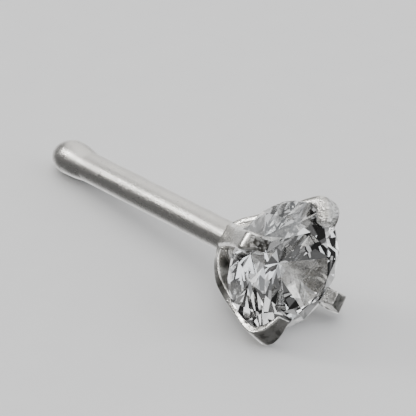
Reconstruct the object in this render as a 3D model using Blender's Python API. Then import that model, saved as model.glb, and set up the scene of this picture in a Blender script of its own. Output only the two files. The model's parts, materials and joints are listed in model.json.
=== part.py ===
"""Nose stud: a straight post with a bead at one end and a claw-set round stone at the other.

The stud is modelled in its own frame: +X runs along the post towards the stone's table, the
origin is the centre of the stone's girdle, and -Z is the side that it lies on. An empty then
lays it down as it would come to rest: on the bead, the girdle's edge and a lower claw.
"""

from math import asin, atan2, cos, hypot, pi, radians, sin, tan

import bmesh
import bpy
from mathutils import Matrix, Vector

MM = 0.001

# Stone: a round brilliant
STONE_DIAMETER = 3.3 * MM
TABLE_DIAMETER = 2.05 * MM
GIRDLE_THICKNESS = 0.11 * MM
CROWN_ANGLE = radians(36.0)
PAVILION_ANGLE = radians(40.75)
STAR_LENGTH = 0.5            # share of the way from the table's edge to the girdle
LOWER_FACET_LENGTH = 0.77    # share of the way from the girdle to the point
STONE_TURN = radians(13.8)   # a corner of the table, counted from straight down

# Post and bead
POST_DIAMETER = 0.8 * MM
POST_LENGTH = 6.0 * MM       # clear length between the bead's shoulder and the foot
BEAD_DIAMETER = 0.95 * MM
BEAD_CAP_LENGTH = 0.78 * MM   # from the end to the widest place
BEAD_SHOULDER_LENGTH = 0.98 * MM  # from the widest place to the plain wire
BEAD_RISE = 0.03 * MM         # how far the wide part sits above the wire
BEAD_DROOP = 0.08 * MM        # how far the end lies below the wide part
BEAD_FULLNESS = 1.4           # above 1 the shoulder stays wide for longer

# Setting
HEAD_DEPTH = 2.5 * MM        # from the girdle down to the foot of the arms
FOOT_HEIGHT = 0.85 * MM
FOOT_TOP_DIAMETER = 0.95 * MM
ARM_THICKNESS = 0.24 * MM
ARM_ROOT_WIDTH = 0.34 * MM
ARM_ROOT_DEPTH = 0.12 * MM    # how far an arm's root reaches past the foot, into the post
CLAW_WIDTH = 0.5 * MM
CLAW_TIP_WIDTH = 0.36 * MM
CLAW_COVER = 0.29 * MM       # metal outside the girdle
CLAW_BEND_HEIGHT = 0.26 * MM  # middle of the bend above the middle of the girdle
CLAW_BEND_RADIUS = 0.28 * MM
CLAW_ROOM = 0.3 * MM         # length below the bend where an arm widens inwards to the seat
RAISED_TIP_THICKNESS = 0.08 * MM
SEAT_DEPTH = 0.3 * MM        # how far an uncut claw would reach into the stone
EDGE_CHAMFER = 0.045 * MM
SEAT_GAP = 0.025 * MM        # clearance between the stone and the metal

# Claws, bent by hand, so no two are alike. The angle is counted from straight down towards +Y,
# and the lean is the slope of the bent tip from the post's axis. The reach is where the tip
# ends, as a share of the stone's radius, and the sway is how far it leans sideways, as a share
# of the claw's width. The bulge is how far the arm curves outwards, as a share of the head's
# depth, and the twist turns the claw about its own length. A raised claw stands off the stone.
CLAWS = (
    {"name": "near_lower", "angle": -42.0, "lean": 57.0, "reach": 0.70, "sway": 0.0,
     "bulge": 0.07, "twist": -12.0, "raised": True},
    {"name": "far_lower", "angle": 42.0, "lean": 66.0, "reach": 0.79, "sway": 0.0,
     "bulge": 0.01, "twist": 8.0, "raised": False},
    {"name": "far_upper", "angle": 135.0, "lean": 62.0, "reach": 0.85, "sway": 0.0,
     "bulge": -0.045, "twist": 0.0, "raised": False},
    {"name": "near_upper", "angle": 225.0, "lean": 66.0, "reach": 0.83, "sway": -0.3,
     "bulge": 0.01, "twist": 0.0, "raised": False},
)

# Weight of each material, in grams per cubic centimetre
SILVER_DENSITY = 10.4
STONE_DENSITY = 5.8

# The stud rests on a side of its hull that is no steeper than this, as it lies in its own frame
STEEPEST_REST = radians(25.0)

# The corners of the stone's table, and so the number of each of its main facets
TABLE_CORNERS = 8

# Smoothness of the round shapes
POST_SIDES = 32
BEAD_STEPS = 8
ARM_STEPS = 6
BEND_STEPS = 6

STONE_RADIUS = STONE_DIAMETER / 2
POST_RADIUS = POST_DIAMETER / 2
BEAD_RADIUS = BEAD_DIAMETER / 2


def around(station, radius, angle):
    """A point at a station along the axis, a radius from it, and an angle from straight down."""
    return Vector((station, radius * sin(angle), -radius * cos(angle)))


def material(name, color, roughness, metallic=0.0, transmission=0.0, ior=1.5):
    mat = bpy.data.materials.new(name)
    mat.use_nodes = True
    shader = mat.node_tree.nodes["Principled BSDF"]
    shader.inputs["Base Color"].default_value = (*color, 1.0)
    shader.inputs["Roughness"].default_value = roughness
    shader.inputs["Metallic"].default_value = metallic
    shader.inputs["Transmission Weight"].default_value = transmission
    shader.inputs["IOR"].default_value = ior
    return mat


def mesh_object(name, points, faces, parent):
    """An object with outward faces, made from points in the stud's own frame."""
    mesh = bpy.data.meshes.new(name)
    bm = bmesh.new()
    verts = [bm.verts.new(point) for point in points]
    for face in faces:
        bm.faces.new([verts[index] for index in face])
    bmesh.ops.recalc_face_normals(bm, faces=bm.faces)
    bm.to_mesh(mesh)
    bm.free()
    obj = bpy.data.objects.new(name, mesh)
    bpy.context.scene.collection.objects.link(obj)
    obj.parent = parent
    return obj


def helper_object(name, points, faces, parent):
    """A solid that only shapes another one."""
    obj = mesh_object(name, points, faces, parent)
    obj.hide_render = True
    obj.display_type = "WIRE"
    return obj


def loft(rings):
    """Points and faces of a solid through rings of equal length, closed at both ends."""
    sides = len(rings[0])
    points = [point for ring in rings for point in ring]
    faces = [list(range(sides)), list(range(len(points) - sides, len(points)))]
    for start in range(0, len(points) - sides, sides):
        for side in range(sides):
            after = (side + 1) % sides
            faces.append((start + side, start + after, start + sides + after, start + sides + side))
    return points, faces


def brilliant(radius, girdle_thickness, table_radius):
    """Points and faces of a round brilliant, table towards +X, with a scalloped girdle."""
    half_girdle = girdle_thickness / 2
    step = 2 * pi / TABLE_CORNERS
    half_step = step / 2
    table_height = half_girdle + (radius - table_radius) * tan(CROWN_ANGLE)
    table_edge = table_radius * cos(half_step)
    star_radius = table_edge + (radius - table_edge) * STAR_LENGTH
    star_height = half_girdle + (radius - star_radius * cos(half_step)) * tan(CROWN_ANGLE)
    lower_radius = radius * (1 - LOWER_FACET_LENGTH)
    lower_depth = half_girdle + (radius - lower_radius * cos(half_step)) * tan(PAVILION_ANGLE)
    point_depth = half_girdle + radius * tan(PAVILION_ANGLE)

    def scallop(tip_radius, tip_height):
        """How far a half facet dips where the round girdle bulges between its corners."""
        chord_middle = radius * cos(half_step / 2)
        run = chord_middle - tip_radius * cos(half_step / 2)
        return (radius - chord_middle) * (tip_height - half_girdle) / run

    def ring(station, distance, turn):
        """One point for each corner of the table, turned past it by some angle."""
        angles = [STONE_TURN + turn + corner * step for corner in range(TABLE_CORNERS)]
        return [around(station, distance, angle) for angle in angles]

    girdle_corners = 4 * TABLE_CORNERS
    points = ring(table_height, table_radius, 0.0) + ring(star_height, star_radius, half_step)
    upper_dip = scallop(star_radius, star_height)
    lower_dip = scallop(lower_radius, lower_depth)
    for height, dip in ((half_girdle, -upper_dip), (-half_girdle, lower_dip)):
        for corner in range(girdle_corners):
            station = height + dip * (corner % 2)
            points.append(around(station, radius, STONE_TURN + corner * half_step / 2))
    points += ring(-lower_depth, lower_radius, half_step)
    points.append(around(-point_depth, 0.0, 0.0))
    star = TABLE_CORNERS
    upper = star + TABLE_CORNERS
    lower = upper + girdle_corners
    tip = lower + girdle_corners
    culet = tip + TABLE_CORNERS
    faces = [list(range(TABLE_CORNERS))]
    for main in range(TABLE_CORNERS):
        before = (main - 1) % TABLE_CORNERS
        after = (main + 1) % TABLE_CORNERS
        first, last = main * 4, after * 4
        middle = first + 2
        faces.append((main, after, star + main))
        faces.append((star + before, main, star + main, upper + first))
        faces.append((tip + before, lower + first, tip + main, culet))
        for start, end in ((first, middle), (middle, last)):
            faces.append((star + main, upper + start, upper + start + 1, upper + end))
            faces.append((tip + main, lower + start, lower + start + 1, lower + end))
    for side in range(girdle_corners):
        after = (side + 1) % girdle_corners
        faces.append((upper + side, upper + after, lower + after, lower + side))
    return points, faces


def turned_metal():
    """Rings of the bead, the post and the foot, as one turned piece."""
    foot_station = -HEAD_DEPTH
    bead_station = foot_station - POST_LENGTH - BEAD_SHOULDER_LENGTH
    profile = []
    for step in range(1, BEAD_STEPS + 1):
        angle = pi / 2 * step / BEAD_STEPS
        station = bead_station - BEAD_CAP_LENGTH * cos(angle)
        profile.append((station, BEAD_RADIUS * sin(angle), BEAD_RISE - BEAD_DROOP * cos(angle)))
    for step in range(1, BEAD_STEPS + 1):
        share = step / BEAD_STEPS
        ease = (1 - cos(pi * share ** BEAD_FULLNESS)) / 2
        radius = BEAD_RADIUS + (POST_RADIUS - BEAD_RADIUS) * ease
        profile.append((bead_station + BEAD_SHOULDER_LENGTH * share, radius, BEAD_RISE * (1 - ease)))
    profile.append((foot_station, POST_RADIUS, 0.0))
    profile.append((foot_station + FOOT_HEIGHT, FOOT_TOP_DIAMETER / 2, 0.0))
    rings = []
    for station, radius, rise in profile:
        turns = [2 * pi * side / POST_SIDES for side in range(POST_SIDES)]
        rings.append([around(station, radius, turn) + Vector((0.0, 0.0, rise)) for turn in turns])
    return rings


def bend_center():
    """Station and radius of the middle of each claw's bend."""
    return CLAW_BEND_HEIGHT, STONE_RADIUS + CLAW_COVER - CLAW_BEND_RADIUS


def flare_angle():
    """Slope of the arms' outer faces, from the post's edge at the foot onto the bend."""
    station, radius = bend_center()
    run = station + HEAD_DEPTH
    rise = radius - POST_RADIUS
    return atan2(rise, run) + asin(CLAW_BEND_RADIUS / hypot(run, rise))


def claw_sections(claw):
    """Outer and inner point, as station and radius, width, shift and twist of each section."""
    bend_station, bend_radius = bend_center()
    flare = flare_angle()
    lean = radians(claw["lean"])
    twist = radians(claw["twist"])

    def on_bend(slope):
        station = bend_station - CLAW_BEND_RADIUS * sin(slope)
        return Vector((station, bend_radius + CLAW_BEND_RADIUS * cos(slope)))

    root = Vector((-HEAD_DEPTH, POST_RADIUS))
    run = on_bend(flare) - root
    outward = Vector((-sin(flare), cos(flare)))

    def on_arm(share):
        """A section of the arm, which swells most at a third of its length."""
        swell = claw["bulge"] * HEAD_DEPTH * share * (1 - share) ** 2 * 27 / 4
        outer = root + run * share + outward * swell
        width = ARM_ROOT_WIDTH + (CLAW_WIDTH - ARM_ROOT_WIDTH) * share
        return outer, outer - outward * ARM_THICKNESS, width, 0.0, twist * share

    last_share = 1 - CLAW_ROOM / run.length
    sections = [on_arm(-ARM_ROOT_DEPTH / run.length)]
    sections += [on_arm(last_share * step / ARM_STEPS) for step in range(1, ARM_STEPS + 1)]
    for step in range(BEND_STEPS + 1):
        share = step / BEND_STEPS
        slope = flare - (lean + flare) * share
        outer = on_bend(slope)
        if claw["raised"]:
            inner = outer - Vector((-sin(slope), cos(slope))) * ARM_THICKNESS
        else:
            inner = Vector(((share - 0.5) * GIRDLE_THICKNESS, STONE_RADIUS - SEAT_DEPTH))
        sections.append((outer, inner, CLAW_WIDTH, 0.0, twist))
    last = on_bend(-lean)
    tip_radius = claw["reach"] * STONE_RADIUS
    tip = Vector((last.x + (last.y - tip_radius) / tan(lean), tip_radius))
    below = Vector((GIRDLE_THICKNESS, tip_radius))
    if claw["raised"]:
        below = tip - Vector((RAISED_TIP_THICKNESS, 0.0))
    sections.append((tip, below, CLAW_TIP_WIDTH, claw["sway"] * CLAW_WIDTH, twist))
    return sections


def claw_rings(claw):
    """Chamfered sections of an arm and its claw, from the foot to the tip."""
    angle = radians(claw["angle"])
    sideways = Vector((0.0, cos(angle), sin(angle)))
    rings = []
    for outer, inner, width, shift, twist in claw_sections(claw):
        middle = around(*((outer + inner) / 2), angle) + sideways * shift
        inward = around(*inner, angle) - around(*outer, angle)
        half_depth = inward.length / 2
        inward.normalize()
        half = width / 2
        chamfer = min(EDGE_CHAMFER, half_depth / 2)
        corners = (
            (-half, chamfer - half_depth),
            (chamfer - half, -half_depth),
            (half - chamfer, -half_depth),
            (half, chamfer - half_depth),
            (half, half_depth - chamfer),
            (half - chamfer, half_depth),
            (chamfer - half, half_depth),
            (-half, half_depth - chamfer),
        )
        turn = Matrix.Rotation(twist, 3, "X")
        rings.append([middle + turn @ (sideways * side + inward * reach) for side, reach in corners])
    return rings


def boolean(obj, operation, other):
    modifier = obj.modifiers.new(other.name, "BOOLEAN")
    modifier.operation = operation
    modifier.solver = "EXACT"
    modifier.object = other


def metal(frame):
    """Post, bead, foot and four claws as one soldered solid, cut to seat the stone."""
    obj = mesh_object("post_and_setting", *loft(turned_metal()), frame)
    for claw in CLAWS:
        arm = helper_object("arm_" + claw["name"], *loft(claw_rings(claw)), frame)
        boolean(obj, "UNION", arm)
    wider = (STONE_RADIUS + SEAT_GAP, GIRDLE_THICKNESS + SEAT_GAP, TABLE_DIAMETER / 2)
    seat = helper_object("stone_seat", *brilliant(*wider), frame)
    boolean(obj, "DIFFERENCE", seat)
    obj.data.materials.append(material("silver_metal", (0.76, 0.745, 0.72), 0.3, metallic=1.0))
    obj.data.shade_smooth()
    obj.data.set_sharp_from_angle(angle=radians(30.0))
    return obj


def stone(frame):
    outline = (STONE_RADIUS, GIRDLE_THICKNESS, TABLE_DIAMETER / 2)
    obj = mesh_object("stone", *brilliant(*outline), frame)
    glass = material("clear_stone", (0.96, 0.96, 0.97), 0.0, transmission=1.0, ior=2.15)
    obj.data.materials.append(glass)
    return obj


def solid_corners(obj):
    """Corners and triangles of a finished solid, in millimetres in the stud's own frame."""
    solid = obj.evaluated_get(bpy.context.evaluated_depsgraph_get())
    mesh = solid.to_mesh()
    mesh.calc_loop_triangles()
    corners = [vertex.co / MM for vertex in mesh.vertices]
    triangles = [tuple(triangle.vertices) for triangle in mesh.loop_triangles]
    solid.to_mesh_clear()
    return corners, triangles


def balance_point(weighed):
    """Centre of mass of solids, each given as corners, triangles and density."""
    moment, mass = Vector((0.0, 0.0, 0.0)), 0.0
    for corners, triangles, density in weighed:
        for first, second, third in triangles:
            a, b, c = corners[first], corners[second], corners[third]
            weight = density * a.dot(b.cross(c)) / 6
            moment += (a + b + c) / 4 * weight
            mass += weight
    return moment / mass


def resting_side(corners, balance):
    """Outward normal of the flat side of the hull that the stud settles on, near -Z."""
    hull = bmesh.new()
    for corner in corners:
        hull.verts.new(corner)
    bmesh.ops.convex_hull(hull, input=hull.verts)
    lower = [face for face in hull.faces if face.normal.z < -cos(STEEPEST_REST)]
    side = min(lower, key=lambda face: face.normal.dot(face.verts[0].co - balance))
    down = side.normal.copy()
    hull.free()
    return down


def lay_down(frame, metal_solid, stone_solid):
    """Turns the stud onto its resting side, post along +X, with the origin under its middle."""
    metal_corners, metal_triangles = solid_corners(metal_solid)
    stone_corners, stone_triangles = solid_corners(stone_solid)
    balance = balance_point((
        (metal_corners, metal_triangles, SILVER_DENSITY),
        (stone_corners, stone_triangles, STONE_DENSITY),
    ))
    corners = metal_corners + stone_corners
    up = -resting_side(corners, balance)
    along = Vector((1.0, 0.0, 0.0))
    along = (along - up * along.dot(up)).normalized()
    turn = Matrix((along, up.cross(along), up))
    turned = [turn @ corner * MM for corner in corners]
    low = Vector([min(corner[axis] for corner in turned) for axis in range(3)])
    high = Vector([max(corner[axis] for corner in turned) for axis in range(3)])
    middle = (low + high) / 2
    frame.rotation_euler = turn.to_euler()
    frame.location = (-middle.x, -middle.y, -low.z)


def main():
    for old in list(bpy.data.objects):
        bpy.data.objects.remove(old)
    frame = bpy.data.objects.new("stud_frame", None)
    bpy.context.scene.collection.objects.link(frame)
    lay_down(frame, metal(frame), stone(frame))


main()
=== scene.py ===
# %% [markdown]
# # A nose stud with a claw-set stone
# The stud is a straight silver wire with a melted bead at one end and a small head at the other.
# Four arms flare from a foot on the wire, and their ends are bent over a clear round stone.
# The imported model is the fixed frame. Everything below gives it the surface of the real thing.

import json
from math import atan2, cos, degrees, pi, radians, sin

import bmesh
import bpy
import numpy as np
from mathutils import Matrix, Vector, noise


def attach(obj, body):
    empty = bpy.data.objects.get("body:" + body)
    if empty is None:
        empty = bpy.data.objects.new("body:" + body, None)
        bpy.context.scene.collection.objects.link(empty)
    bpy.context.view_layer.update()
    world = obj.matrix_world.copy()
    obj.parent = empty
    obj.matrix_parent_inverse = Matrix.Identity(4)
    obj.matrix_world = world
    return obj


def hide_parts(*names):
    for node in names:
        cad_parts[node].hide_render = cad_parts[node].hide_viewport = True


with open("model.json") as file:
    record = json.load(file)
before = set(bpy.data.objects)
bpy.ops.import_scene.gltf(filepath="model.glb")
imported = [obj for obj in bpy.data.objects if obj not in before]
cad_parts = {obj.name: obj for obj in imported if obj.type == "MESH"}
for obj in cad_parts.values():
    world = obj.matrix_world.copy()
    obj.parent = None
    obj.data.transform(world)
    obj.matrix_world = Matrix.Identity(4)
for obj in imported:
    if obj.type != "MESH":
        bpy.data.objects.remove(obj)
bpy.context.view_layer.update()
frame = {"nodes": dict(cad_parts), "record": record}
print("nodes:", sorted(frame["nodes"]))

# %% [markdown]
# ## The stud's own frame
# A jeweller works along the wire, not along the bench. So the pieces are built in the stud's own
# frame, in millimetres: +X runs along the wire towards the stone's table, the origin is the middle
# of the girdle, and -Z is the side that it lies on. The frame could be copied from a drawing, but
# then it would go stale with the next change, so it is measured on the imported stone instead.

# %% Measure the stone
MM = 0.001
STONE_TURN = radians(13.8)  # from straight down to the nearest corner of the table

table_mount = next(mount for mount in frame["record"]["mounts"] if mount["name"] == "table")
along = Vector(table_mount["axis"]).normalized()
table_middle = Vector(table_mount["pos_m"])
stone_corners = [vertex.co - table_middle for vertex in frame["nodes"]["stone"].data.vertices]


def off_axis(corner):
    """The part of a place that is square to the wire."""
    return corner - along * corner.dot(along)


stone_radius = max(off_axis(corner).length for corner in stone_corners)
girdle = [corner.dot(along) for corner in stone_corners if off_axis(corner).length > 0.999 * stone_radius]
girdle_middle = table_middle + along * (min(girdle) + max(girdle)) / 2
print("stone radius, mm:", round(stone_radius / MM, 3))

# %% Find how far the stud is rolled
floor_side = off_axis(Vector((0.0, 0.0, -1.0))).normalized()
sideways = along.cross(floor_side)


def roll_of(corner):
    """Angle of a corner of the table from straight down, less the turn of the stone."""
    return atan2(corner.dot(sideways), corner.dot(floor_side)) - STONE_TURN


table_corners = [corner for corner in stone_corners if abs(corner.dot(along)) < 0.01 * stone_radius]
table_corners = [corner for corner in table_corners if corner.length > 0.1 * stone_radius]
roll = min((roll_of(corner) for corner in table_corners), key=abs)
down = floor_side * cos(roll) + sideways * sin(roll)
stud_axes = Matrix((along, along.cross(down), -down)).transposed()
stud_to_world = Matrix.Translation(girdle_middle) @ (stud_axes * MM).to_4x4()
print("roll, degrees:", round(degrees(roll), 2), "corners on the table:", len(table_corners))

# %% [markdown]
# ## Camera
# The photograph was taken from close to the stone with a long lens. The view is set in the stud's
# frame, because what matters is how the camera sees the stud: 40 degrees off the stone's axis.

# %% Camera
PICTURE = 416                  # pixels across the photograph
GIRDLE_PIXEL = (284.0, 265.7)  # where the middle of the girdle shows
PIXELS_PER_MM = 41.0           # at the girdle's distance
CAMERA_DEPTH = 75.0            # mm from the lens to the girdle
CAMERA_AZIMUTH = radians(57.65)
CAMERA_ELEVATION = radians(24.94)
CAMERA_ROLL = radians(-7.1)
SENSOR = 36.0

level = cos(CAMERA_ELEVATION)
camera_back = Vector((sin(CAMERA_AZIMUTH) * level, -cos(CAMERA_AZIMUTH) * level, sin(CAMERA_ELEVATION)))
level_right = Vector((cos(CAMERA_AZIMUTH), sin(CAMERA_AZIMUTH), 0.0))
level_up = camera_back.cross(level_right)
camera_right = level_right * cos(CAMERA_ROLL) + level_up * sin(CAMERA_ROLL)
camera_up = camera_back.cross(camera_right)
aside = (GIRDLE_PIXEL[0] - PICTURE / 2) / PIXELS_PER_MM
below = (GIRDLE_PIXEL[1] - PICTURE / 2) / PIXELS_PER_MM
camera_place = camera_back * CAMERA_DEPTH - camera_right * aside + camera_up * below

camera = bpy.data.objects.new("camera", bpy.data.cameras.new("camera"))
bpy.context.scene.collection.objects.link(camera)
camera.data.sensor_width = SENSOR
camera.data.lens = SENSOR * CAMERA_DEPTH * PIXELS_PER_MM / PICTURE
camera.data.clip_start = 0.005
camera.data.clip_end = 10.0
camera_axes = stud_axes @ Matrix((camera_right, camera_up, camera_back)).transposed()
camera.matrix_world = Matrix.Translation(stud_to_world @ camera_place) @ camera_axes.to_4x4()
bpy.context.scene.camera = camera
print("lens, mm:", round(camera.data.lens, 1))

# %% [markdown]
# ## Shapes drawn through rings
# Nearly every form on a jeweller's bench starts as wire or strip, so each piece here starts as a
# row of rings with skin between them. Blender's Screw modifier or a bevelled curve could do it
# too, but rings are easy to squeeze, bend and twist one by one.

# %% Rings to a closed skin
def around(station, radius, angle):
    """A place in the stud's frame: along the wire, out from it, and around it from straight down."""
    return Vector((station, radius * sin(angle), -radius * cos(angle)))


def skin(rings):
    """Corners and faces of a closed form through rings of equal length."""
    sides = len(rings[0])
    corners = [corner for ring in rings for corner in ring]
    faces = [tuple(range(sides)), tuple(range(len(corners) - sides, len(corners)))]
    for start in range(0, len(corners) - sides, sides):
        for side in range(sides):
            after = (side + 1) % sides
            faces.append((start + side, start + after, start + sides + after, start + sides + side))
    return corners, faces


def form(name, corners, faces):
    """An object in the stud's frame, in millimetres, with its faces turned outwards."""
    mesh = bpy.data.meshes.new(name)
    bm = bmesh.new()
    points = [bm.verts.new(corner) for corner in corners]
    for face in faces:
        bm.faces.new([points[index] for index in face])
    bmesh.ops.recalc_face_normals(bm, faces=bm.faces)
    bm.to_mesh(mesh)
    bm.free()
    obj = bpy.data.objects.new(name, mesh)
    bpy.context.scene.collection.objects.link(obj)
    return obj


def set_down(obj):
    """Moves a finished form from the stud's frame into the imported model's, smoothly shaded."""
    obj.data.transform(stud_to_world)
    obj.data.shade_smooth()
    print(obj.name, "faces:", len(obj.data.polygons))


def curve_through(rows, columns, steps):
    """Rows of a table, blended smoothly so that each gap between two rows has a number of steps."""
    knots = np.array([[row[column] for column in columns] for row in rows])
    knots = np.vstack([2 * knots[0] - knots[1], knots, 2 * knots[-1] - knots[-2]])
    blended = []
    for first in range(len(rows) - 1):
        a, b, c, d = knots[first:first + 4]
        for step in range(steps):
            t = step / steps
            bend = 2 * a - 5 * b + 4 * c - d
            swing = 3 * b - a - 3 * c + d
            blended.append(b + t * ((c - a) + t * (bend + t * swing)) / 2)
    blended.append(knots[-2])
    return blended


# %% [markdown]
# ## Post and bead
# The post is drawn wire, so it is very straight, but its surface was rubbed with fine abrasive.
# The bead is the same wire, melted back with a torch until it drew up into a ball. Melted metal
# flows: the ball is a little oval, sits higher on one side, and runs into the wire with a soft
# shoulder. Turned rings give both, with the ball's middle lifted off the wire's axis.

# %% Post
WIRE_RADIUS = 0.4
FOOT_STATION = -2.05           # where the wire enters the foot of the setting
SHOULDER_STATION = -8.5        # where the wire begins to swell into the bead
WIRE_SIDES = 96
WIRE_STEP = 0.06               # mm between the rings
BEAD_OVERLAP = 0.3             # how far the wire runs on inside the bead's shoulder
FOOT_OVERLAP = 0.2             # and inside the foot
SWELL_ALONG = 0.7              # unevenness changes slowly along the wire
SWELL_ACROSS = 2.2             # and faster around it


def wire_ring(station, radius, lift=0.0, unevenness=0.0015):
    """A ring around the wire, very slightly uneven, as hand-finished metal is."""
    ring = []
    for side in range(WIRE_SIDES):
        angle = 2 * pi * side / WIRE_SIDES
        place = around(station, radius, angle)
        swell = noise.noise(Vector((place.x * SWELL_ALONG, place.y * SWELL_ACROSS, place.z * SWELL_ACROSS)))
        ring.append(around(station, radius + unevenness * swell, angle) + Vector((0.0, 0.0, lift)))
    return ring


post_start = SHOULDER_STATION - BEAD_OVERLAP
post_end = FOOT_STATION + FOOT_OVERLAP
post_stations = np.linspace(post_start, post_end, round((post_end - post_start) / WIRE_STEP))
post = form("post", *skin([wire_ring(station, WIRE_RADIUS) for station in post_stations]))
set_down(post)

# %% Bead
BEAD_RADIUS = 0.475
BEAD_CAP_LENGTH = 0.78         # from the end to the widest place
BEAD_SHOULDER_LENGTH = 0.98    # from the widest place to the plain wire
BEAD_RISE = 0.03               # how far the wide part sits above the wire
BEAD_DROOP = 0.08              # how far the end lies below the wide part
BEAD_FULLNESS = 1.4            # above 1 the shoulder stays wide for longer
BEAD_STEPS = 32
MELT_WAVES = 0.008
SINK = 0.006                   # how far the shoulder's last ring lies inside the wire

bead_station = SHOULDER_STATION - BEAD_SHOULDER_LENGTH
bead_rings = []
for step in range(1, BEAD_STEPS + 1):
    angle = pi / 2 * step / BEAD_STEPS
    station = bead_station - BEAD_CAP_LENGTH * cos(angle)
    lift = BEAD_RISE - BEAD_DROOP * cos(angle)
    bead_rings.append(wire_ring(station, BEAD_RADIUS * sin(angle), lift, MELT_WAVES))
for step in range(1, BEAD_STEPS + 1):
    share = step / BEAD_STEPS
    ease = (1 - cos(pi * share ** BEAD_FULLNESS)) / 2
    radius = BEAD_RADIUS + (WIRE_RADIUS - SINK - BEAD_RADIUS) * ease
    station = bead_station + BEAD_SHOULDER_LENGTH * share
    bead_rings.append(wire_ring(station, radius, BEAD_RISE * (1 - ease), MELT_WAVES * (1 - ease)))
bead_rings.append(wire_ring(SHOULDER_STATION + 0.1, WIRE_RADIUS - 4 * SINK, 0.0, 0.0))
bead = form("bead", *skin(bead_rings))
set_down(bead)

# %% [markdown]
# ## Setting
# The setting is a small foot with four arms. Each arm is a strip that flares outwards, passes the
# stone's girdle and is bent over it by hand, so no two claws are alike. An arm has its angle around
# the wire, how round its corners are worn, and a table. Each row of the table is a place on its
# outer face: how far along the wire, how far out, and how thick, wide, shifted and twisted the strip
# is there. One bent strip, turned three times, would be less work, but hand-bent claws differ.

# %% Strips of the four arms
ARM_COLUMNS = ("along", "out", "thick", "wide", "shift", "twist")
STRIP_STEPS = 6
CORNER_STEPS = 4


def rows(*values):
    return [dict(zip(ARM_COLUMNS, row)) for row in values]


ARMS = {
    "near_lower": (-42.0, 0.03, rows(
        (-2.40, 0.26, 0.20, 0.34, 0.00, 10),
        (-2.20, 0.46, 0.26, 0.48, 0.00, 16),
        (-2.00, 0.68, 0.27, 0.57, 0.00, 22),
        (-1.70, 1.03, 0.26, 0.54, 0.00, 20),
        (-1.20, 1.34, 0.25, 0.48, 0.00, 12),
        (-0.70, 1.55, 0.23, 0.50, 0.00, 2),
        (-0.20, 1.76, 0.21, 0.55, 0.00, -7),
        (0.12, 1.87, 0.20, 0.59, 0.01, -12),
        (0.37, 1.88, 0.20, 0.61, 0.02, -13),
        (0.60, 1.76, 0.19, 0.59, 0.02, -11),
        (0.79, 1.52, 0.16, 0.50, 0.01, -5),
        (0.93, 1.16, 0.09, 0.38, 0.00, 4),
    )),
    "far_lower": (42.0, 0.035, rows(
        (-2.40, 0.26, 0.20, 0.50, 0.00, 0),
        (-2.12, 0.46, 0.26, 0.62, 0.00, 0),
        (-1.90, 0.68, 0.26, 0.62, 0.00, 0),
        (-1.50, 1.02, 0.25, 0.54, 0.00, 2),
        (-0.90, 1.38, 0.24, 0.47, 0.00, 4),
        (-0.25, 1.73, 0.28, 0.50, 0.00, 6),
        (0.12, 1.90, 0.34, 0.50, 0.00, 8),
        (0.34, 1.94, 0.38, 0.50, 0.00, 8),
        (0.52, 1.87, 0.42, 0.47, 0.00, 8),
        (0.65, 1.66, 0.44, 0.42, 0.00, 8),
        (0.77, 1.32, 0.42, 0.37, 0.00, 8),
    )),
    "far_upper": (135.0, 0.13, rows(
        (-2.40, 0.24, 0.20, 0.50, 0.00, 0),
        (-2.15, 0.43, 0.25, 0.60, 0.00, 0),
        (-1.91, 0.62, 0.26, 0.60, 0.00, 0),
        (-1.45, 0.91, 0.25, 0.52, 0.00, 0),
        (-0.90, 1.28, 0.25, 0.48, 0.00, 0),
        (-0.38, 1.66, 0.30, 0.50, 0.00, 0),
        (-0.06, 1.87, 0.34, 0.52, 0.00, 0),
        (0.20, 1.95, 0.38, 0.53, 0.00, 0),
        (0.42, 1.92, 0.42, 0.52, 0.00, 0),
        (0.60, 1.80, 0.45, 0.49, 0.00, 0),
        (0.73, 1.61, 0.46, 0.44, 0.00, 0),
        (0.80, 1.41, 0.44, 0.38, 0.00, 0),
    )),
    "near_upper": (225.0, 0.07, rows(
        (-2.35, 0.26, 0.20, 0.52, 0.00, 0),
        (-2.05, 0.44, 0.26, 0.66, 0.00, 0),
        (-1.75, 0.68, 0.27, 0.66, 0.00, 0),
        (-1.30, 0.99, 0.26, 0.60, 0.00, 0),
        (-0.70, 1.37, 0.26, 0.53, 0.00, 0),
        (-0.20, 1.63, 0.28, 0.50, 0.00, 0),
        (0.12, 1.77, 0.32, 0.50, 0.00, 0),
        (0.33, 1.84, 0.36, 0.50, -0.02, 0),
        (0.51, 1.81, 0.40, 0.47, -0.05, 0),
        (0.64, 1.66, 0.43, 0.43, -0.10, 0),
        (0.73, 1.40, 0.42, 0.37, -0.15, 0),
    )),
}


def strip_section(half_wide, half_thick, worn):
    """Corners of a rectangle with worn corners, sideways and inwards from its middle."""
    radius = min(worn, 0.8 * half_wide, 0.8 * half_thick)
    outline = []
    for quarter, (side, depth) in enumerate(((1, 1), (-1, 1), (-1, -1), (1, -1))):
        for step in range(CORNER_STEPS + 1):
            angle = pi / 2 * (quarter + step / CORNER_STEPS)
            outline.append((
                side * (half_wide - radius) + radius * cos(angle),
                depth * (half_thick - radius) + radius * sin(angle),
            ))
    return outline


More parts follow.
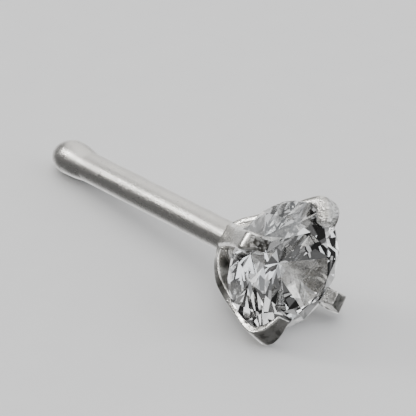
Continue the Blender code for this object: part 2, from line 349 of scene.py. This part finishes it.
def arm_rings(angle, worn, table):
    """Rings of one arm, square to its outer face."""
    places = curve_through(table, ARM_COLUMNS, STRIP_STEPS)
    side_way = Vector((0.0, cos(angle), sin(angle)))
    rings = []
    for number, (station, out, thick, wide, shift, twist) in enumerate(places):
        before = places[max(number - 1, 0)]
        after = places[min(number + 1, len(places) - 1)]
        ahead = (around(after[0], after[1], angle) - around(before[0], before[1], angle)).normalized()
        turn = Matrix.Rotation(radians(twist), 3, ahead)
        across = turn @ side_way
        inward = turn @ ahead.cross(side_way)
        if inward.dot(around(0.0, 1.0, angle)) > 0 and number < len(places) / 2:
            inward = -inward
        middle = around(station, out, angle) + side_way * shift + inward * thick / 2
        section = strip_section(wide / 2, thick / 2, worn)
        rings.append([middle + across * a + inward * b for a, b in section])
    return rings


# %% [markdown]
# The stone was pushed down between the arms before they were bent, so a small seat is cut into
# each of them. Here the stone itself is the cutter: a copy that is a hair larger is taken away
# from each strip with a Boolean.

# %% Cut the seats
SEAT_CLEARANCE = 0.02
grown = 1 + SEAT_CLEARANCE * MM / stone_radius
cut_stone = bmesh.new()
cut_stone.from_mesh(frame["nodes"]["stone"].data)
cut_stone.transform(stud_to_world.inverted())
bmesh.ops.remove_doubles(cut_stone, verts=cut_stone.verts, dist=0.001)
bmesh.ops.recalc_face_normals(cut_stone, faces=cut_stone.faces)
facet_normals = np.array([face.normal for face in cut_stone.faces])
facet_reach = np.array([face.normal.dot(face.verts[0].co) for face in cut_stone.faces])
cutter_mesh = bpy.data.meshes.new("seat_cutter")
cut_stone.transform(Matrix.Scale(grown, 4))
cut_stone.to_mesh(cutter_mesh)
print("facet triangles of the stone:", len(cut_stone.faces))
cut_stone.free()
cutter = bpy.data.objects.new("seat_cutter", cutter_mesh)
bpy.context.scene.collection.objects.link(cutter)


def evaluated(obj):
    """The mesh of an object as its modifiers leave it."""
    graph = bpy.context.evaluated_depsgraph_get()
    return bpy.data.meshes.new_from_object(obj.evaluated_get(graph))


strips = []
for name, (angle, worn, table) in ARMS.items():
    strip = form(name, *skin(arm_rings(radians(angle), worn, table)))
    cut = strip.modifiers.new("seat", "BOOLEAN")
    cut.operation = "DIFFERENCE"
    cut.solver = "EXACT"
    cut.object = cutter
    strips.append(evaluated(strip))
    bpy.data.objects.remove(strip)
    print(name, "corners after the cut:", len(strips[-1].vertices))
bpy.data.objects.remove(cutter)

# %% [markdown]
# The foot is a short cone with a hollow top, and a low collar of solder lies where the wire enters
# it. A cone and a torus would leave a hard seam, so both are one turned profile of stations and radii.

# %% Foot
FOOT_PROFILE = (
    (-2.17, 0.37), (-2.13, 0.41), (-2.08, 0.438), (-2.02, 0.44), (-1.96, 0.428), (-1.88, 0.452),
    (-1.75, 0.52), (-1.62, 0.57), (-1.55, 0.56), (-1.52, 0.50), (-1.60, 0.30), (-1.65, 0.10),
)
foot = form("foot", *skin([wire_ring(station, radius, 0.0, 0.01) for station, radius in FOOT_PROFILE]))
strips.append(evaluated(foot))
bpy.data.objects.remove(foot)

# %% [markdown]
# Foot and arms are one piece of metal. A voxel remesh melts the five overlapping forms into one
# skin, a little smoothing rounds the edges and fills the corners as polishing does, and then
# every place that the smoothing pushed into the stone is pressed back onto its facets.

# %% Melt together
VOXEL = 0.021
melted = bmesh.new()
for strip in strips:
    melted.from_mesh(strip)
setting_mesh = bpy.data.meshes.new("setting")
melted.to_mesh(setting_mesh)
melted.free()
setting = bpy.data.objects.new("setting", setting_mesh)
bpy.context.scene.collection.objects.link(setting)
remesh = setting.modifiers.new("melt", "REMESH")
remesh.mode = "VOXEL"
remesh.voxel_size = VOXEL
setting.data = evaluated(setting)
setting.modifiers.clear()
print("setting faces after melting:", len(setting.data.polygons))

# %% Polish, dent and press onto the stone
POLISH_ROUNDS = 2
POLISH_PULL = 0.5              # how far a corner goes towards the middle of its neighbours
count = len(setting.data.vertices)
places = np.empty(count * 3)
setting.data.vertices.foreach_get("co", places)
places = places.reshape(count, 3)
edges = np.empty(len(setting.data.edges) * 2, dtype=int)
setting.data.edges.foreach_get("vertices", edges)
edges = edges.reshape(-1, 2)
neighbours = np.bincount(edges.ravel(), minlength=count)[:, None]
for _ in range(POLISH_ROUNDS):
    total = np.zeros_like(places)
    np.add.at(total, edges[:, 0], places[edges[:, 1]])
    np.add.at(total, edges[:, 1], places[edges[:, 0]])
    places += POLISH_PULL * (total / neighbours - places)

WAVE_SIZE = 0.45
WAVE_DEPTH = 0.012
WAVE_SEED = 7                  # without a seed, Blender shifts the waves by the clock on every run
noise.seed_set(WAVE_SEED)
waves = [noise.noise_vector(Vector(place) / WAVE_SIZE) for place in places]
places += WAVE_DEPTH * np.array(waves)

above = places @ facet_normals.T - facet_reach
nearest = above.argmax(axis=1)
short = SEAT_CLEARANCE - above.max(axis=1)
inside = short > 0
places[inside] += short[inside, None] * facet_normals[nearest[inside]]
setting.data.vertices.foreach_set("co", places.ravel())
setting.data.update()
print("corners pressed back onto the stone:", int(inside.sum()))
set_down(setting)

# %% [markdown]
# ## Finishes
# Silver has hardly any colour of its own. What tells drawn wire from a melted ball or a filed claw
# is its surface: lines, pits, a thin cloudy film, bright worn edges and dark corners. Each of
# these is a node group with its own inputs, built once and then used in each metal with its own
# values. An image would be quicker, but nodes stay sharp however near the camera comes.

# %% Helpers for nodes
def new_material(name):
    """An empty material, with its node tree and its output node."""
    made = bpy.data.materials.new(name)
    made.use_nodes = True
    made.node_tree.nodes.clear()
    return made, made.node_tree, made.node_tree.nodes.new("ShaderNodeOutputMaterial")


def node(tree, kind, settings=None, **values):
    """A shader node with its settings, and its sockets set to values or linked to other sockets."""
    made = tree.nodes.new("ShaderNode" + kind)
    for name, value in (settings or {}).items():
        setattr(made, name, value)
    for name, value in values.items():
        socket = made.inputs[int(name[1:])] if name[1:].isdigit() else made.inputs[name.replace("_", " ")]
        if isinstance(value, bpy.types.NodeSocket):
            tree.links.new(value, socket)
        else:
            socket.default_value = value
    return made


def math(tree, operation, first, second=0.0, clamp=False):
    """The result of a Math node."""
    return node(tree, "Math", {"operation": operation, "use_clamp": clamp}, _0=first, _1=second).outputs[0]


def ramp(tree, value, start, end):
    """A value stretched smoothly from 0 at the start to 1 at the end."""
    settings = {"interpolation_type": "SMOOTHSTEP"}
    return node(tree, "MapRange", settings, Value=value, From_Min=start, From_Max=end).outputs[0]


def new_group(name, inputs, outputs):
    """A shader node group with named sockets, its inputs' values and its outputs."""
    group = bpy.data.node_groups.new(name, "ShaderNodeTree")
    for label, kind, value in inputs:
        socket = group.interface.new_socket(name=label, in_out="INPUT", socket_type="NodeSocket" + kind)
        if value is not None:
            socket.default_value = value
    for label in outputs:
        group.interface.new_socket(name=label, in_out="OUTPUT", socket_type="NodeSocketFloat")
    return group, group.nodes.new("NodeGroupInput").outputs, group.nodes.new("NodeGroupOutput").inputs


def use_group(tree, group, **values):
    """A group placed in a material."""
    return node(tree, "Group", {"node_tree": group}, **values).outputs


# %% Lines of drawn and rubbed wire
wire_lines, given, result = new_group(
    "wire_lines",
    (("Place", "Vector", None), ("Spacing", "Float", 0.03), ("Length", "Float", 1.5)),
    ("Lines",),
)
nodes = wire_lines
across = math(nodes, "DIVIDE", 1.0, given["Spacing"])
lengthwise = math(nodes, "DIVIDE", 1.0, given["Length"])
stretch = node(nodes, "CombineXYZ", X=lengthwise, Y=across, Z=across).outputs[0]
place = node(nodes, "VectorMath", {"operation": "MULTIPLY"}, _0=given["Place"], _1=stretch).outputs[0]
lines = node(nodes, "TexNoise", Vector=place, Scale=1.0, Detail=3.0, Roughness=0.6).outputs["Fac"]
nodes.links.new(ramp(nodes, lines, 0.3, 0.7), result["Lines"])

# %% Small pits
PIT_WOBBLE = 0.08              # mm by which the pits are pushed off a regular pattern
small_pits, given, result = new_group(
    "small_pits",
    (("Place", "Vector", None), ("Size", "Float", 0.05), ("Share", "Float", 0.3)),
    ("Pits",),
)
nodes = small_pits
density = math(nodes, "DIVIDE", 1.0, given["Size"])
wobble = node(nodes, "TexNoise", Vector=given["Place"], Scale=9.0, Detail=2.0).outputs["Color"]
settings = {"operation": "MULTIPLY_ADD"}
push = (PIT_WOBBLE, PIT_WOBBLE, PIT_WOBBLE)
place = node(nodes, "VectorMath", settings, _0=wobble, _1=push, _2=given["Place"])
cells = node(nodes, "TexVoronoi", Vector=place.outputs[0], Scale=density)
bowl = math(nodes, "SUBTRACT", 1.0, ramp(nodes, cells.outputs["Distance"], 0.12, 0.5))
chance = node(nodes, "SeparateColor", Color=cells.outputs["Color"]).outputs[0]
chosen = math(nodes, "LESS_THAN", chance, given["Share"])
nodes.links.new(math(nodes, "MULTIPLY", bowl, chosen), result["Pits"])

# %% Cloudy film
cloudy_film, given, result = new_group(
    "cloudy_film",
    (("Place", "Vector", None), ("Patch", "Float", 0.5), ("Grain", "Float", 0.4)),
    ("Film",),
)
nodes = cloudy_film
frequency = math(nodes, "DIVIDE", 1.0, given["Patch"])
film = node(nodes, "TexNoise", Vector=given["Place"], Scale=frequency, Detail=5.0, Roughness=given["Grain"])
nodes.links.new(ramp(nodes, film.outputs["Fac"], 0.35, 0.65), result["Film"])

# %% Worn edges and dark corners
EDGE_START = 0.505
EDGE_END = 0.56
worn_edges, given, result = new_group("worn_edges", (("Place", "Vector", None),), ("Edges", "Corners"))
nodes = worn_edges
pointed = node(nodes, "NewGeometry").outputs["Pointiness"]
patchy = node(nodes, "TexNoise", Vector=given["Place"], Scale=6.0, Detail=3.0).outputs["Fac"]
patchy = ramp(nodes, patchy, 0.3, 0.6)
edges = ramp(nodes, pointed, EDGE_START, EDGE_END)
nodes.links.new(math(nodes, "MULTIPLY", edges, patchy), result["Edges"])
nodes.links.new(ramp(nodes, pointed, 1 - EDGE_START, 1 - EDGE_END), result["Corners"])
print("groups:", [group.name for group in bpy.data.node_groups])


# %% [markdown]
# Every metal reads its place in the stud's own millimetres, so that lines follow the wire and pits
# have their true size. A Mapping node turns the imported model's metres into that frame. Dark
# reflections are painted onto the claws as blotches: each is a ball of cloudy film around one
# place, with how far it reaches, the size of its patches, the least it shows and its strength.
# Each blotch also dents the metal a little and makes it rougher.

# %% Silver
def stud_place(tree):
    """The shaded place in the stud's frame, in millimetres."""
    corner = node(tree, "TexCoord").outputs["Object"]
    mapping = node(tree, "Mapping", {"vector_type": "TEXTURE"}, Vector=corner)
    mapping.inputs["Location"].default_value = girdle_middle
    mapping.inputs["Rotation"].default_value = stud_axes.to_euler()
    mapping.inputs["Scale"].default_value = (MM, MM, MM)
    return mapping.outputs[0]


def mix(tree, share, first, second, blend="MIX"):
    """Two colours mixed."""
    settings = {"data_type": "RGBA", "blend_type": blend}
    return node(tree, "Mix", settings, _0=share, _6=first, _7=second).outputs[2]


def blend_value(tree, share, low, high):
    """A value from low to high."""
    return node(tree, "MapRange", Value=share, To_Min=low, To_Max=high).outputs[0]


# painted dark reflection: the colour of the blotches, which stand for a dark floor mirrored in the claws
PAINTED_DARK_REFLECTION = (0.055, 0.050, 0.042, 1.0)
BLOTCH_DEPTH = 0.010
BLOTCH_GRAIN = 0.45
BLOTCH_ROUGHNESS = 0.12
PIT_DIRT = (0.06, 0.055, 0.05, 1.0)
# colour mixed in where the surface bends inwards, so hollow corners are darker
CORNER_DARKENING = (0.16, 0.15, 0.14, 1.0)
BRIGHT_EDGE = (0.97, 0.965, 0.95, 1.0)
WEAR_STRENGTH = 0.5
FILM_SHARE = 0.6               # how much of the unevenness in roughness is film
LINE_SHARE = 0.4               # and how much is lines


def silver(name, light, dark, roughness, lines, pits, film, blotches=()):
    """Silver with a lit and a dulled colour, a range of roughness, its marks and painted dark reflections.
    """
    made, tree, output = new_material(name)
    place = stud_place(tree)
    marks = use_group(tree, wire_lines, Place=place, Spacing=lines["spacing"], Length=lines["length"])
    hollows = use_group(tree, small_pits, Place=place, Size=pits["size"], Share=pits["share"])
    clouds = use_group(tree, cloudy_film, Place=place, Patch=film["patch"], Grain=film["grain"])
    wear = use_group(tree, worn_edges, Place=place)
    dulled = math(tree, "MULTIPLY", clouds["Film"], film["strength"])
    color = mix(tree, dulled, (*light, 1.0), (*dark, 1.0))
    lined = math(tree, "MULTIPLY", marks["Lines"], lines["tone"])
    color = mix(tree, lined, color, (*dark, 1.0))
    pitted = math(tree, "MULTIPLY", hollows["Pits"], pits["tone"])
    color = mix(tree, pitted, color, PIT_DIRT)
    color = mix(tree, math(tree, "MULTIPLY", wear["Corners"], WEAR_STRENGTH), color, CORNER_DARKENING)
    color = mix(tree, math(tree, "MULTIPLY", wear["Edges"], WEAR_STRENGTH), color, BRIGHT_EDGE)
    cloudy = math(tree, "MULTIPLY", clouds["Film"], FILM_SHARE)
    streaky = math(tree, "MULTIPLY", marks["Lines"], LINE_SHARE)
    uneven = math(tree, "ADD", cloudy, streaky)
    rough = blend_value(tree, uneven, *roughness)
    height = math(tree, "MULTIPLY", marks["Lines"], lines["depth"])
    height = math(tree, "SUBTRACT", height, math(tree, "MULTIPLY", hollows["Pits"], pits["depth"]))
    # each blotch paints a dark reflection into the colour, and also dents and roughens the metal there
    for middle, reach, patch, least, strength in blotches:
        far = node(tree, "VectorMath", {"operation": "DISTANCE"}, _0=place, _1=middle).outputs["Value"]
        close = ramp(tree, far, reach, 0.6 * reach)
        blotch = use_group(tree, cloudy_film, Place=place, Patch=patch, Grain=BLOTCH_GRAIN)["Film"]
        blotch = math(tree, "MULTIPLY", math(tree, "MAXIMUM", blotch, least), close)
        color = mix(tree, math(tree, "MULTIPLY", blotch, strength), color, PAINTED_DARK_REFLECTION)
        rough = math(tree, "ADD", rough, math(tree, "MULTIPLY", close, BLOTCH_ROUGHNESS))
        height = math(tree, "SUBTRACT", height, math(tree, "MULTIPLY", blotch, BLOTCH_DEPTH))
    bump = node(tree, "Bump", Height=height, Distance=MM, Strength=1.0)
    shader = node(
        tree, "BsdfPrincipled", Base_Color=color, Metallic=1.0, Roughness=rough, Normal=bump.outputs[0]
    )
    tree.links.new(shader.outputs[0], output.inputs["Surface"])
    return made


satin_wire = silver(
    "satin_wire", (0.84, 0.825, 0.80), (0.64, 0.625, 0.60), (0.22, 0.34),
    lines={"spacing": 0.022, "length": 0.35, "tone": 0.35, "depth": 0.0016},
    pits={"size": 0.06, "share": 0.04, "tone": 0.5, "depth": 0.002},
    film={"patch": 0.9, "grain": 0.6, "strength": 0.4},
)
melted_silver = silver(
    "melted_silver", (0.84, 0.825, 0.80), (0.64, 0.625, 0.60), (0.22, 0.34),
    lines={"spacing": 0.022, "length": 0.25, "tone": 0.33, "depth": 0.0014},
    pits={"size": 0.11, "share": 0.03, "tone": 0.8, "depth": 0.006},
    film={"patch": 0.9, "grain": 0.6, "strength": 0.4},
)
NEAR_LOWER = radians(-42)
FAR_LOWER = radians(42)
FAR_UPPER = radians(135)
NEAR_UPPER = radians(225)
filed_silver = silver(
    "filed_silver", (0.86, 0.845, 0.81), (0.55, 0.535, 0.505), (0.14, 0.32),
    lines={"spacing": 0.03, "length": 0.12, "tone": 0.15, "depth": 0.0015},
    pits={"size": 0.05, "share": 0.28, "tone": 0.55, "depth": 0.004},
    film={"patch": 0.35, "grain": 0.65, "strength": 0.6},
    # painted dark reflections: two on the lower part of the near lower arm, and one near the tip of each
    # arm
    blotches=(
        (around(-1.90, 0.72, NEAR_LOWER), 0.42, 0.30, 0.85, 0.92),
        (around(-1.35, 1.10, NEAR_LOWER), 0.52, 0.35, 0.80, 0.92),
        (around(0.66, 1.66, NEAR_LOWER), 0.42, 0.20, 0.45, 0.7),
        (around(0.64, 1.52, NEAR_UPPER), 0.46, 0.12, 0.38, 0.95),
        (around(0.50, 1.75, FAR_UPPER), 0.50, 0.09, 0.0, 0.45),
        (around(0.66, 1.60, FAR_LOWER), 0.40, 0.15, 0.3, 0.65),
    ),
)
for piece, finish in ((post, satin_wire), (bead, melted_silver), (setting, filed_silver)):
    piece.data.materials.append(finish)
    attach(piece, "root")
    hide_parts("post_and_setting")

# %% [markdown]
# ## Stone
# The stone is clear and cut as a brilliant, and it is taken to be zirconia. Its facets are already
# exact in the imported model, so its node stays and only gets a finish: glass that bends light far
# more than window glass, with the faintest smudges where it was handled.

# %% Clear stone
ZIRCONIA_INDEX = 2.15
clear_stone, tree, output = new_material("clear_zirconia")
place = stud_place(tree)
smudges = use_group(tree, cloudy_film, Place=place, Patch=0.8, Grain=0.7)["Film"]
tint = mix(tree, smudges, (1.0, 1.0, 1.0, 1.0), (0.965, 0.972, 0.985, 1.0))
shader = node(
    tree, "BsdfPrincipled", Base_Color=tint, Roughness=blend_value(tree, smudges, 0.0, 0.012),
    IOR=ZIRCONIA_INDEX, Transmission_Weight=1.0,
)
tree.links.new(shader.outputs[0], output.inputs["Surface"])
stone = frame["nodes"]["stone"]
stone.data.materials.clear()
stone.data.materials.append(clear_stone)

# %% [markdown]
# ## Floor and light
# A cut stone and polished silver show only what stands around them, so jewellery is lit with a few
# soft boxes and pale cards, and the dark gaps between them give the facets their contrast. Lamps
# would work, but tiny bright lamps make noisy glass. The boxes are painted as soft discs on the
# sky instead. The floor is seen by the eye alone: the metal and the stone mirror boxes and cards.

# %% Floor
FLOOR_SIZE = 1.5
floor_mesh = bpy.data.meshes.new("floor")
floor_mesh.from_pydata(
    [(x * FLOOR_SIZE, y * FLOOR_SIZE, 0.0) for x, y in ((-1, -1), (1, -1), (1, 1), (-1, 1))],
    [],
    [(0, 1, 2, 3)],
)
floor = bpy.data.objects.new("floor", floor_mesh)
bpy.context.scene.collection.objects.link(floor)
floor.visible_glossy = False
floor.visible_transmission = False

paper, tree, output = new_material("floor_paper")
grain = node(tree, "TexNoise", Vector=node(tree, "TexCoord").outputs["Object"], Scale=900.0, Detail=3.0)
color = mix(tree, grain.outputs["Fac"], (0.80, 0.80, 0.81, 1.0), (0.84, 0.84, 0.84, 1.0))
shader = node(tree, "BsdfPrincipled", Base_Color=color, Roughness=0.7)
tree.links.new(shader.outputs[0], output.inputs["Surface"])
floor.data.materials.append(paper)

# %% Soft boxes
# Each box has an azimuth from +X and an elevation, both in degrees, then half its width in degrees,
# its brightness and its color.
VIEW_SIDE = -32                # azimuth of the camera, within a few degrees
KEY_SIDE = -144                # found from where the bright streak lies on the wire
BOX_EDGE = 0.4                 # share of the half width over which a box fades, inwards and outwards
WARM_WHITE = (1.0, 0.99, 0.96)
COOL_WHITE = (0.94, 0.97, 1.0)
NEUTRAL = (1.0, 1.0, 1.0)
SOFT_BOXES = {
    # small and bright, on the camera's left: it draws the thin streak along the wire
    "key": (KEY_SIDE, 27, 6, 19.0, WARM_WHITE),
    # a broad soft glow above the key, which makes the wire's upper half satin
    "diffuser": (KEY_SIDE, 45, 26, 1.0, WARM_WHITE),
    # a wide bank straight above, as over a table
    "overhead": (0, 90, 28, 1.9, NEUTRAL),
    # opposite the key, so that its shadow side is not black
    "fill": (KEY_SIDE + 180, 30, 22, 2.0, COOL_WHITE),
    # square to the wire, for the claws' outer faces
    "side": (90, 15, 22, 1.6, COOL_WHITE),
    # behind the camera and above it, for the faces that are turned to the camera
    "front": (VIEW_SIDE, 50, 18, 1.5, NEUTRAL),
    # opposite the camera, for the light that comes through the stone
    "back": (VIEW_SIDE + 180, 35, 24, 1.2, WARM_WHITE),
    # the floor does not show in the metal, so two pale cards stand for it: behind the stud
    "far_card": (VIEW_SIDE + 180, -30, 32, 1.25, NEUTRAL),
    # and in front of it
    "near_card": (VIEW_SIDE - 28, -15, 24, 0.75, NEUTRAL),
}
AMBIENT = 0.14
BACKDROP = (0.97, 0.97, 0.96, 1.0)

world = bpy.data.worlds.new("studio")
bpy.context.scene.world = world
world.use_nodes = True
tree = world.node_tree
tree.nodes.clear()
ray = node(tree, "TexCoord").outputs["Generated"]
glow = node(tree, "RGB").outputs[0]
glow.default_value = (AMBIENT, AMBIENT, AMBIENT, 1.0)
for azimuth, elevation, half_width, brightness, color in SOFT_BOXES.values():
    azimuth, elevation = radians(azimuth), radians(elevation)
    toward = (cos(elevation) * cos(azimuth), cos(elevation) * sin(azimuth), sin(elevation))
    nearness = node(tree, "VectorMath", {"operation": "DOT_PRODUCT"}, _0=ray, _1=toward).outputs["Value"]
    rim = cos(radians(half_width * (1 + BOX_EDGE)))
    core = cos(radians(half_width * (1 - BOX_EDGE)))
    disc = ramp(tree, nearness, rim, core)
    lit = math(tree, "MULTIPLY", disc, brightness)
    glow = mix(tree, lit, glow, (*color, 1.0), "ADD")
    glow.node.clamp_factor = False
seen = node(tree, "LightPath").outputs["Is Camera Ray"]
shown = mix(tree, seen, glow, BACKDROP)
background = node(tree, "Background", Color=shown, Strength=1.0)
tree.links.new(background.outputs[0], node(tree, "OutputWorld").inputs["Surface"])
print("soft boxes:", ", ".join(SOFT_BOXES))
